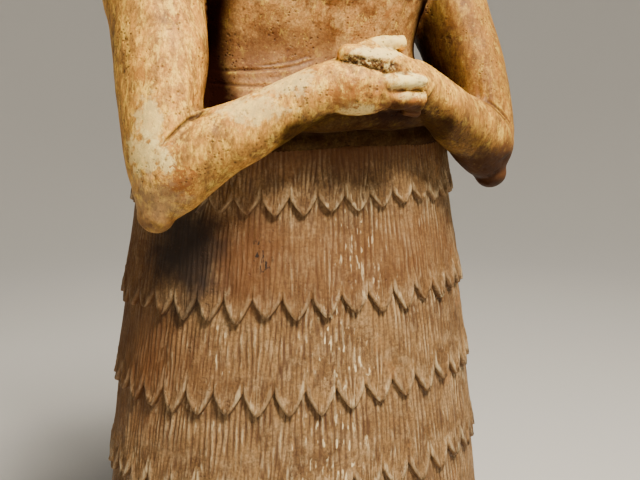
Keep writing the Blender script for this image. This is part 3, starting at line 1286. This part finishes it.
def round_floor():
    """A flat disc whose rim turns up through a quarter circle into a round wall."""
    turn = np.radians(np.arange(0, 360, 5))
    bend = np.radians(np.arange(0, 91, 9))
    radii = np.concatenate([[0.5, FLOOR_RADIUS], FLOOR_RADIUS + FLOOR_BEND * np.sin(bend[1:]),
                            [FLOOR_RADIUS + FLOOR_BEND]])
    heights = np.concatenate([[0, 0], FLOOR_BEND * (1 - np.cos(bend[1:])), [WALL_HEIGHT]])
    rings = np.stack([radii[:, None] * np.cos(turn), radii[:, None] * np.sin(turn),
                      heights[:, None] + 0 * turn], axis=-1)
    rows, columns = rings.shape[:2]
    faces = [face for face in grid_faces(rows, columns) if max(face) <= rows * columns]
    mesh = bpy.data.meshes.new("floor")
    mesh.from_pydata(np.vstack([rings.reshape(-1, 3), [(0, 0, 0)]]).tolist(), [], faces)
    mesh.shade_smooth()
    return mesh


class SetStage(bpy.types.Operator):
    """Adds the pale floor, the soft lights and the camera"""
    bl_idname = "statue.set_stage"
    bl_label = "Set stage"

    def execute(self, context):
        floor = add_object("floor", round_floor())
        floor.data.materials.append(plain("floor_paint", FLOOR_COLOUR, 0.9))
        for name, place, size, power, colour in LIGHTS:
            area_light(name, place, size, power, colour)
        world = bpy.data.worlds.new("studio")
        world.use_nodes = True
        background = world.node_tree.nodes["Background"]
        background.inputs["Color"].default_value = SKY_COLOUR
        background.inputs["Strength"].default_value = SKY_STRENGTH
        context.scene.world = world
        add_camera()
        return {"FINISHED"}


def length_property(name, description, default):
    return bpy.props.FloatProperty(name=name, description=description, default=default,
                                   min=0.0, subtype="DISTANCE", unit="LENGTH", precision=4)


def colour_property(name, description, default):
    return bpy.props.FloatVectorProperty(name=name, description=description, subtype="COLOR",
                                         size=4, min=0.0, max=1.0, default=default)


class StatueSizes(bpy.types.PropertyGroup):
    base_height: length_property("Base height", "Thickness of the low base", 0.055)
    base_margin: length_property("Base margin", "How far the base stands past the hem", 0.016)
    base_corner: length_property("Base corner", "Radius of the base's upright corners", 0.070)
    strand_depth: length_property("Strand depth", "Depth of the carved wool strands", 0.0025)
    figure_grain: length_property("Figure grain", "Cell size of the figure's skin", 0.0015)
    base_grain: length_property("Base grain", "Cell size of the base's skin", 0.0031)
    figure_detail: bpy.props.FloatProperty(
        name="Figure detail", description="Share of the figure's faces that is kept",
        default=0.24, min=0.05, max=1.0, subtype="FACTOR")


class StatueColours(bpy.types.PropertyGroup):
    body_dark: colour_property("Body dark", "Darkest body stone", (0.17, 0.060, 0.010, 1))
    body_middle: colour_property("Body middle", "Usual body stone", (0.48, 0.240, 0.068, 1))
    body_light: colour_property("Body light", "Lightest body stone", (0.72, 0.45, 0.155, 1))
    arm_dark: colour_property("Arm dark", "Darkest arm stone", (0.27, 0.130, 0.032, 1))
    arm_middle: colour_property("Arm middle", "Usual arm stone", (0.62, 0.290, 0.052, 1))
    arm_light: colour_property("Arm light", "Lightest arm stone", (0.92, 0.535, 0.086, 1))
    wool_dark: colour_property("Wool dark", "Darkest skirt stone", (0.145, 0.074, 0.026, 1))
    wool_middle: colour_property("Wool middle", "Usual skirt stone", (0.255, 0.143, 0.056, 1))
    wool_light: colour_property("Wool light", "Lightest skirt stone", (0.39, 0.258, 0.130, 1))
    cream: colour_property("Cream", "Palest worn patches", (0.97, 0.77, 0.30, 1))
    pale: colour_property("Pale", "Yellow patches on the skin", (0.94, 0.64, 0.115, 1))
    chalk: colour_property("Chalk", "Rubbed strands", (0.8, 0.64, 0.38, 1))
    rust: colour_property("Rust", "Orange brown stains", (0.34, 0.115, 0.02, 1))
    soot: colour_property("Soot", "Dark stain by the elbow", (0.022, 0.013, 0.009, 1))
    umber: colour_property("Umber", "Darker brown of shaded and stained stone", (0.115, 0.04, 0.01, 1))
    shade: colour_property("Shade", "Old dirt where nothing reaches", (0.008, 0.002, 0.001, 1))
    dirt: colour_property("Dirt", "Dirt in the grooves", (0.075, 0.032, 0.014, 1))


class StatuePanel(bpy.types.Panel):
    """Lists the statue's sizes, colours and operators"""
    bl_idname = "VIEW3D_PT_statue"
    bl_label = "Standing worshipper"
    bl_space_type = "VIEW_3D"
    bl_region_type = "UI"
    bl_category = "Statue"

    def draw(self, context):
        column = self.layout.column()
        for group in (context.scene.statue_sizes, context.scene.statue_colours):
            for name in group.__annotations__:
                column.prop(group, name)
        for operator in (CarveFigure, CarveSkirt, CarveBase, SetStage):
            column.operator(operator.bl_idname)


CLASSES = (StatueSizes, StatueColours, CarveFigure, CarveSkirt, CarveBase, SetStage, StatuePanel)


def register():
    for each in CLASSES:
        bpy.utils.register_class(each)
    bpy.types.Scene.statue_sizes = bpy.props.PointerProperty(type=StatueSizes)
    bpy.types.Scene.statue_colours = bpy.props.PointerProperty(type=StatueColours)


def unregister():
    del bpy.types.Scene.statue_colours
    del bpy.types.Scene.statue_sizes
    for each in reversed(CLASSES):
        bpy.utils.unregister_class(each)


def main():
    register()
    bpy.ops.statue.carve_figure()
    bpy.ops.statue.carve_skirt()
    bpy.ops.statue.carve_base()
    bpy.ops.statue.set_stage()
    bpy.context.view_layer.update()


if __name__ == "__main__":
    main()
